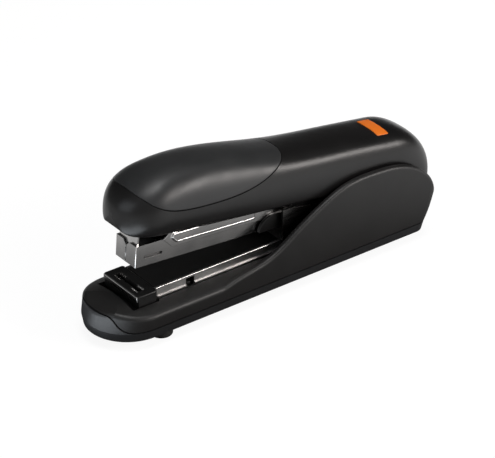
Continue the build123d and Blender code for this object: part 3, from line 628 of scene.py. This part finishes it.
def rim_finder(grid):
    """Search tree of the points round the outside of a grid."""
    sides = [grid[0], grid[-1], [row[0] for row in grid], [row[-1] for row in grid]]
    places = [place for side in sides for place, _ in side]
    tree = KDTree(len(places))
    for index, place in enumerate(places):
        tree.insert(place, index)
    tree.balance()
    return tree


def rim_drop(finder, place, round_size):
    """How far a point sinks near a rim that is rounded as a quarter circle."""
    short = max(0.0, round_size - finder.find(place)[2])
    return round_size - math.sqrt(round_size ** 2 - short ** 2)


pad_rim = rim_finder(pad_grid)
pad_round = 0.55 * mm
pad_depth = 0.9 * mm


def pad_top(place, normal):
    """Sink a point of the inlay near its rim."""
    return place - normal * rim_drop(pad_rim, place, pad_round)


pad_mesh = closed_skin("soft_grip", pad_grid, pad_depth, pad_top)
pad_mesh.transform(raise_handle)
pad_mesh.shade_smooth()
soft_grip = add_piece("soft_grip", pad_mesh, "handle", "grip_rubber", "grip_pad")
print("grip faces:", len(pad_mesh.polygons))

# %% [markdown]
# ## Bare badge
#
# The orange plate near the back of the handle is thin enamelled sheet. It is left bare. A flat
# plate would stand off at its ends, so a grid with rounded corners is dropped straight down onto
# the cover. The plate then follows the curve that carries it, and its rim sinks a little, as the
# edge of a pressed sheet does.

# %% Drop the badge onto the cover
cover_tree, _ = level_surface("handle_cover")
badge_middle = Vector((58.1, -2.0, 80.0)) * mm
badge_half_run = 3.2 * mm
badge_half_width = 7.3 * mm
badge_corner = 0.6 * mm
badge_rows = 25
badge_columns = 41


def rounded_corner(x, y):
    """Move a point of a plain rectangle into one with rounded corners."""
    over_x = max(0.0, abs(x) - badge_half_run + badge_corner) / badge_corner
    over_y = max(0.0, abs(y) - badge_half_width + badge_corner) / badge_corner
    pull_x = over_x * (1 - math.sqrt(1 - over_y ** 2 / 2)) * badge_corner
    pull_y = over_y * (1 - math.sqrt(1 - over_x ** 2 / 2)) * badge_corner
    return x - math.copysign(pull_x, x), y - math.copysign(pull_y, y)


def badge_spot(along, across):
    """Drop a point of the badge onto the cover."""
    x, y = rounded_corner(along * badge_half_run, across * badge_half_width)
    place, normal, _, _ = cover_tree.ray_cast(badge_middle + Vector((x, y, 0)), Vector((0, 0, -1)))
    return place, normal


badge_grid = [[badge_spot(along, across) for across in eased_steps(badge_columns, 0.9)]
              for along in eased_steps(badge_rows, 0.9)]
print("badge points:", badge_rows * badge_columns)

# %% Bare badge
badge_rim = rim_finder(badge_grid)
badge_plate = 0.3 * mm
badge_round = 0.2 * mm
badge_bed = 0.02 * mm


def badge_top(place, normal):
    """Lift a point by the plate's thickness, less near the rim."""
    return place + normal * (badge_plate - rim_drop(badge_rim, place, badge_round))


badge_mesh = closed_skin("bare_badge", badge_grid, badge_bed, badge_top)
badge_mesh.transform(raise_handle)
badge_mesh.shade_smooth()
badge_mesh.materials.append(moulded_plastic(
    "badge_enamel", (0.78, 0.16, 0.012), (0.86, 0.20, 0.018), (0.30, 0.38), 0.6, 0.008, 0.5))
bare_badge = bpy.data.objects.new("bare_badge", badge_mesh)
scene.collection.objects.link(bare_badge)
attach(bare_badge, "handle")
print("badge faces:", len(badge_mesh.polygons))

# %% [markdown]
# ## Pocket liners
#
# The table's two pockets show small bright pieces of crimped sheet, where the staple's legs pass
# down to the clincher. Each is a strip on the pocket's floor, in front of the slot or behind it.
# A cosine gives its ridges, which is shorter than drawing them.

# %% Pocket liners
pocket_depth = 0.8 * mm
clincher_half = 0.8 * mm
pocket_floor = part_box("table_block")[1].z - pocket_depth
slot_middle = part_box("clincher")[0].x + clincher_half
strip_gaps = (1.3 * mm, 2.0 * mm)
strip_ends = (4.3 * mm, 8.5 * mm)
strip_rows = 5
strip_columns = 61
strip_rise = 0.3 * mm
strip_bed = 0.02 * mm
ridge_pitch = 0.84 * mm
ridge_rise = 0.16 * mm


def part_way(limits, step, count):
    """A value on the way from one limit to the other."""
    return limits[0] + (limits[1] - limits[0]) * step / (count - 1)


def ridged(place, normal):
    """Lift a point of a liner onto its ridges."""
    wave = math.cos(math.tau * (abs(place.y) - strip_ends[0]) / ridge_pitch)
    return place + normal * (strip_rise + ridge_rise * wave)


def liner_strip(end, side):
    """One strip of crimped sheet, as a closed skin."""
    grid = []
    for row in range(strip_rows):
        x = slot_middle + end * part_way(strip_gaps, row, strip_rows)
        sideways = [side * part_way(strip_ends, column, strip_columns) for column in range(strip_columns)]
        grid.append([(Vector((x, y, pocket_floor)), Vector((0, 0, 1))) for y in sideways])
    return closed_skin("liner_strip", grid, strip_bed, ridged)


liners = bmesh.new()
for end in (-1, 1):
    for side in (-1, 1):
        liners.from_mesh(liner_strip(end, side))
liner_mesh = kept_mesh("pocket_liners", liners)
add_piece("pocket_liners", liner_mesh, "table", "plated_steel")
print("liner faces:", len(liner_mesh.polygons))

# %% [markdown]
# ## Coil spring
#
# The follower is pushed by a long coil that the solid shows as a plain tube. Geometry Nodes draw
# it as a spiral with a round wire swept along it, so the turns and the wire are numbers that can
# be changed.

# %% Node groups
def node_group(name, inputs):
    """Start a geometry node group with named inputs and a finish."""
    group = bpy.data.node_groups.new(name, "GeometryNodeTree")
    sockets = [("Geometry", "NodeSocketGeometry"), *inputs, ("Finish", "NodeSocketMaterial")]
    for label, kind in sockets:
        group.interface.new_socket(label, in_out="INPUT", socket_type=kind)
    group.interface.new_socket("Geometry", in_out="OUTPUT", socket_type="NodeSocketGeometry")
    return group, group.nodes.new("NodeGroupInput"), group.nodes.new("NodeGroupOutput")


def swept_wire(group, group_in, curve, sides):
    """Sweep a round wire along a curve and close its ends."""
    outline = group.nodes.new("GeometryNodeCurvePrimitiveCircle")
    outline.inputs["Resolution"].default_value = sides
    sweep = group.nodes.new("GeometryNodeCurveToMesh")
    sweep.inputs["Fill Caps"].default_value = True
    group.links.new(group_in.outputs["Wire Radius"], outline.inputs["Radius"])
    group.links.new(curve, sweep.inputs["Curve"])
    group.links.new(outline.outputs["Curve"], sweep.inputs["Profile Curve"])
    return sweep.outputs["Mesh"]


def end_group(group, group_in, group_out, shape):
    """End a node group: make copies real and give the shape its finish."""
    real = group.nodes.new("GeometryNodeRealizeInstances")
    dress = group.nodes.new("GeometryNodeSetMaterial")
    group.links.new(shape, real.inputs["Geometry"])
    group.links.new(real.outputs["Geometry"], dress.inputs["Geometry"])
    group.links.new(group_in.outputs["Finish"], dress.inputs["Material"])
    group.links.new(dress.outputs["Geometry"], group_out.inputs["Geometry"])


def grown_mesh(name, group, points, lines, values):
    """Run a node group on points, or on lines between them, and keep a plain mesh."""
    point_mesh = bpy.data.meshes.new(name + "_points")
    point_mesh.from_pydata(points, lines, [])
    holder = bpy.data.objects.new(name + "_points", point_mesh)
    scene.collection.objects.link(holder)
    growth = holder.modifiers.new("growth", "NODES")
    growth.node_group = group
    for socket in group.interface.items_tree:
        if socket.in_out == "INPUT" and socket.name in values:
            growth[socket.identifier] = values[socket.name]
    bpy.context.view_layer.update()
    settled = holder.evaluated_get(bpy.context.evaluated_depsgraph_get())
    mesh = bpy.data.meshes.new_from_object(settled)
    mesh.name = name
    bpy.data.objects.remove(holder)
    return mesh


print("steps of a tree: start the group, sweep a wire, end the group, grow the mesh")

# %% Coil spring
rod_run = Vector(joints["pusher_slide"]["axis"]).normalized()
spring_low, spring_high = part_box("pusher_spring")
spring_radius = spring_high.y
wire_radius = 0.35 * mm
lean = Vector((-abs(rod_run.z), 0, abs(rod_run.x))) * spring_radius
spring_front = Vector((spring_low.x, 0, spring_high.z)) - lean
spring_back = Vector((spring_high.x, 0, spring_low.z)) + lean
spring_length = (spring_back - spring_front).length

coil_group, coil_in, coil_out = node_group("coil", [
    ("Turns", "NodeSocketFloat"),
    ("Coil Radius", "NodeSocketFloat"),
    ("Wire Radius", "NodeSocketFloat"),
    ("Length", "NodeSocketFloat"),
])
spiral = coil_group.nodes.new("GeometryNodeCurveSpiral")
spiral.inputs["Resolution"].default_value = 22
coil_group.links.new(coil_in.outputs["Turns"], spiral.inputs["Rotations"])
coil_group.links.new(coil_in.outputs["Coil Radius"], spiral.inputs["Start Radius"])
coil_group.links.new(coil_in.outputs["Coil Radius"], spiral.inputs["End Radius"])
coil_group.links.new(coil_in.outputs["Length"], spiral.inputs["Height"])
coil_wire = swept_wire(coil_group, coil_in, spiral.outputs["Curve"], 8)
end_group(coil_group, coil_in, coil_out, coil_wire)

coil_mesh = grown_mesh("follower_coil", coil_group, [(0, 0, 0)], [], {
    "Turns": 34.0,
    "Coil Radius": spring_radius - wire_radius,
    "Wire Radius": wire_radius,
    "Length": spring_length - 2 * wire_radius,
    "Finish": finishes["spring_steel"],
})
along_rod = rod_run.to_track_quat("Z", "Y").to_matrix().to_4x4()
coil_mesh.transform(Matrix.Translation(spring_front + rod_run * wire_radius) @ along_rod)
coil_mesh.shade_smooth()
follower_coil = add_piece("follower_coil", coil_mesh, "magazine", "spring_steel", "pusher_spring")
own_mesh(follower_coil)
print("coil faces:", len(coil_mesh.polygons), "length", round(spring_length, 4))

# %% [markdown]
# ## Ribs and bends of the sheet steel
#
# Each side plate of the magazine is stiffened by a pressed panel, and the panel's rim stands up as
# a polished rib that catches a bright line. The table arm is folded from sheet, and the press
# polishes the outside of each bend in the same way. They could be bevels of the plates, but a
# bevel on thin sheet is too narrow to show. Geometry Nodes sweep a wire along each path, so one
# small tree makes both, and the size of the round is one number.

# %% Rods along paths
rod_group, rod_in, rod_out = node_group("rods", [("Wire Radius", "NodeSocketFloat")])
rod_path = rod_group.nodes.new("GeometryNodeMeshToCurve")
rod_group.links.new(rod_in.outputs["Geometry"], rod_path.inputs["Mesh"])
rod_wire = swept_wire(rod_group, rod_in, rod_path.outputs["Curve"], 16)
end_group(rod_group, rod_in, rod_out, rod_wire)


def add_rods(name, paths, radius, body):
    """Sweep a steel round along some paths and let a body carry it."""
    spots = []
    lines = []
    for path in paths:
        lines += [(len(spots) + step, len(spots) + step + 1) for step in range(len(path) - 1)]
        spots += path
    mesh = grown_mesh(name, rod_group, spots, lines, {
        "Wire Radius": radius,
        "Finish": finishes["plated_steel"],
    })
    mesh.shade_smooth()
    add_piece(name, mesh, body, "plated_steel")
    print(name, "faces:", len(mesh.polygons))


print("rod tree nodes:", len(rod_group.nodes))

# %% Arm ribs
raise_magazine = raised_by("magazine_hinge")
rib_radius = 0.42 * mm
rib_bed = 0.12 * mm
rib_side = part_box("magazine_arm")[1].y - rib_bed
rib_corners = [(-51.3, 34.1), (-51.75, 33.3), (-51.85, 32.7), (-51.6, 32.2), (-50.3, 30.9),
               (-49.9, 30.62), (-49.4, 30.5), (-29.5, 30.5), (-9.5, 30.5)]
rib_paths = [[raise_magazine @ Vector((x * mm, side * rib_side, z * mm)) for x, z in rib_corners]
             for side in (-1, 1)]
add_rods("arm_ribs", rib_paths, rib_radius, "magazine")

# %% Arm bends
bend_radius = 0.3 * mm
bend_inset = 0.21 * mm
ledge = 0.7 * mm
arm_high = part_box("table_arm")[1]
bend_side = arm_high.y - ledge - bend_inset
bend_ends = [corner.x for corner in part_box("arm_liner")]
bend_paths = [[Vector((x, side * bend_side, arm_high.z - bend_inset)) for x in bend_ends]
              for side in (-1, 1)]
add_rods("arm_bends", bend_paths, bend_radius, "table")

# %% [markdown]
# ## Leaf springs
#
# A leaf under the magazine and one under the table bend a little at each stroke. Each is clamped
# to the base at its foot and pressed by the part above at its tip. A rigid copy would cut through
# that part, so the copy's tip can be lifted to meet it, and its points turn smoothly up from the
# foot. Cuts every millimetre and a half give the copy enough points to bend.

# %% Leaf springs
cut_pitch = 1.5 * mm


def bending_leaf(node_name, foot, tip, lift=0.0, slim=0.0):
    """Stand a cut copy of a leaf spring that bends up from its foot towards its tip.

    Its tip can be lifted to touch the part that it presses, and the sheet can be slimmed a little.
    """
    surface = welded_copy(node_name)
    low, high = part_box(node_name)
    for step in range(1, int((high.x - low.x) / cut_pitch)):
        place = Vector((low.x + step * cut_pitch, 0, 0))
        everything = surface.verts[:] + surface.edges[:] + surface.faces[:]
        bmesh.ops.bisect_plane(surface, geom=everything, plane_co=place, plane_no=(1, 0, 0))
    surface.normal_update()
    span = tip - foot
    for vertex in surface.verts:
        share = min(1.0, max(0.0, (vertex.co - foot).dot(span) / span.length_squared))
        vertex.co -= vertex.normal * slim
        vertex.co.z += lift * share ** 2 * (3 - 2 * share)
    mesh = kept_mesh(node_name + "_leaf", surface)
    mesh.materials.append(finishes["spring_steel"])
    leaf = bpy.data.objects.new(node_name + "_leaf", mesh)
    scene.collection.objects.link(leaf)
    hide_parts(node_name)
    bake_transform(leaf)
    print(leaf.name, "faces:", len(mesh.polygons))


tip_reach = 6 * mm
magazine_clamp = 7 * mm
table_clamp = 13 * mm
leaf_low, leaf_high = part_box("magazine_spring")
leaf_foot = Vector((leaf_high.x - magazine_clamp, 0, leaf_low.z))
leaf_tip = Vector((leaf_low.x + tip_reach, 0, leaf_high.z))
bending_leaf("magazine_spring", leaf_foot, leaf_tip, lift=0.53 * mm, slim=0.1 * mm)

leaf_low, leaf_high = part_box("table_spring")
leaf_foot = Vector((leaf_low.x + table_clamp, 0, leaf_low.z))
leaf_tip = Vector((leaf_high.x - tip_reach, 0, leaf_high.z))
bending_leaf("table_spring", leaf_foot, leaf_tip)

# %% [markdown]
# ## Screws
#
# Four screws hold the tray from below. One is built as a mesh: a pan head with a cross-shaped
# recess over a plain shank. It could be copied four times by hand, but Geometry Nodes set a copy
# on each of the four points and turn each one by its own random angle, as a screwdriver leaves
# them.

# %% One screw
screw_low, screw_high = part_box("base_screws")
head_radius = 2.25 * mm
head_height = 1.2 * mm
shank_radius = 1.05 * mm
recess_reach = 1.25 * mm
recess_half = 0.34 * mm
recess_depth = 0.75 * mm
screw_sides = 40


def ring(surface, radius, height):
    """Add a ring of points round the Z axis."""
    return [surface.verts.new((radius * math.cos(turn * math.tau / screw_sides),
                               radius * math.sin(turn * math.tau / screw_sides), height))
            for turn in range(screw_sides)]


def cross(surface, reach, half, height):
    """Add the corners of a cross, in order."""
    corners = []
    for quarter in range(4):
        spin = Matrix.Rotation(quarter * math.pi / 2, 3, "Z")
        for x, y in ((half, -half), (reach, -half), (reach, half)):
            corners.append(surface.verts.new(spin @ Vector((x, y, height))))
    return corners


def join_rings(surface, first, second):
    """Join two rings that have the same number of points."""
    for index in range(len(first)):
        after = (index + 1) % len(first)
        surface.faces.new((first[index], first[after], second[after], second[index]))


def edges_round(surface, loop):
    """The edges between each point of a ring and the next."""
    following = loop[1:] + loop[:1]
    return [surface.edges.get(pair) for pair in zip(loop, following)]


def screw_mesh():
    """Build one screw, head down, with its head's face at height zero."""
    surface = bmesh.new()
    profile = [(head_radius * 0.86, 0), (head_radius * 0.96, 0.12 * head_height),
               (head_radius, 0.35 * head_height), (head_radius, head_height),
               (shank_radius, head_height), (shank_radius, screw_high.z - screw_low.z)]
    rings = [ring(surface, radius, height) for radius, height in profile]
    for first, second in zip(rings, rings[1:]):
        join_rings(surface, first, second)
    surface.faces.new(rings[-1])
    mouth = cross(surface, recess_reach, recess_half, 0)
    deep = cross(surface, recess_reach * 0.7, recess_half * 0.8, recess_depth)
    join_rings(surface, mouth, deep)
    surface.faces.new(deep)
    face_edges = edges_round(surface, rings[0]) + edges_round(surface, mouth)
    bmesh.ops.triangle_fill(surface, edges=face_edges, use_beauty=True)
    bmesh.ops.recalc_face_normals(surface, faces=surface.faces)
    return kept_mesh("one_screw", surface)


one_screw = bpy.data.objects.new("one_screw", screw_mesh())
scene.collection.objects.link(one_screw)
print("screw faces:", len(one_screw.data.polygons))

# %% Screws
screw_group, screw_in, screw_out = node_group("screws", [
    ("Screw", "NodeSocketObject"),
    ("Seed", "NodeSocketInt"),
])
pattern = screw_group.nodes.new("GeometryNodeObjectInfo")
any_turn = screw_group.nodes.new("FunctionNodeRandomValue")
any_turn.data_type = "FLOAT"
any_turn.inputs[3].default_value = math.tau
about_z = screw_group.nodes.new("ShaderNodeCombineXYZ")
scatter = screw_group.nodes.new("GeometryNodeInstanceOnPoints")
screw_group.links.new(screw_in.outputs["Geometry"], scatter.inputs["Points"])
screw_group.links.new(screw_in.outputs["Screw"], pattern.inputs["Object"])
screw_group.links.new(pattern.outputs["Geometry"], scatter.inputs["Instance"])
screw_group.links.new(screw_in.outputs["Seed"], any_turn.inputs["Seed"])
screw_group.links.new(any_turn.outputs[1], about_z.inputs["Z"])
screw_group.links.new(about_z.outputs["Vector"], scatter.inputs["Rotation"])
end_group(screw_group, screw_in, screw_out, scatter.outputs["Instances"])

screw_inset = 2.3 * mm
screw_spots = [(x, y, screw_low.z)
               for x in (screw_low.x + screw_inset, screw_high.x - screw_inset)
               for y in (screw_low.y + screw_inset, screw_high.y - screw_inset)]
screws_mesh = grown_mesh("cross_screws", screw_group, screw_spots, [], {
    "Screw": one_screw,
    "Seed": 7,
    "Finish": finishes["plated_steel"],
})
bpy.data.objects.remove(one_screw)
add_piece("cross_screws", screws_mesh, "base", node_slots["base_screws"], "base_screws")
print("screws:", len(screw_spots), "faces", len(screws_mesh.polygons))
